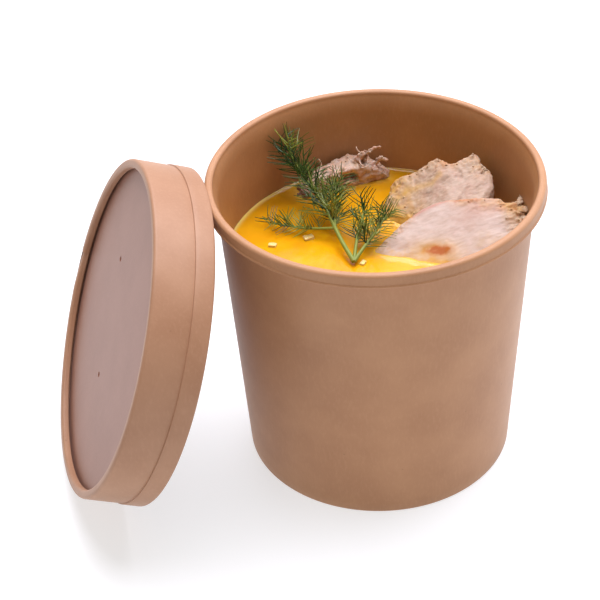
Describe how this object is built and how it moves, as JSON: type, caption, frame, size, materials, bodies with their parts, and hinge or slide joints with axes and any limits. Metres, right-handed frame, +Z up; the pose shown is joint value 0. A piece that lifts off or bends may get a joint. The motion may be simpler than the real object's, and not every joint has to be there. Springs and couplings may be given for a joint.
{
  "type": "takeaway soup container",
  "caption": "Round kraft board soup cup, open, with its lid leaning on the rim; inside, yellow soup with pieces of cooked meat and a sprig of dill.",
  "frame": {"origin": "middle of the footprint of cup and lid together, on the table", "axes": "+Z up; the lid leans on the cup's -X side"},
  "size_m": [0.1354, 0.0924, 0.0915],
  "materials": {
    "kraft_board": "matt kraft board",
    "kraft_panel": "matt kraft board, slightly paler",
    "soup": null,
    "cooked_meat": null,
    "dill": null
  },
  "bodies": {
    "root": {"cup_wall": "kraft_board", "cup_base": "kraft_board", "soup": "soup", "meat_front": "cooked_meat", "meat_back_right": "cooked_meat", "meat_back_left": "cooked_meat", "dill": "dill", "lid_ring": "kraft_board", "lid_panel": "kraft_panel"}
  },
  "joints": []
}
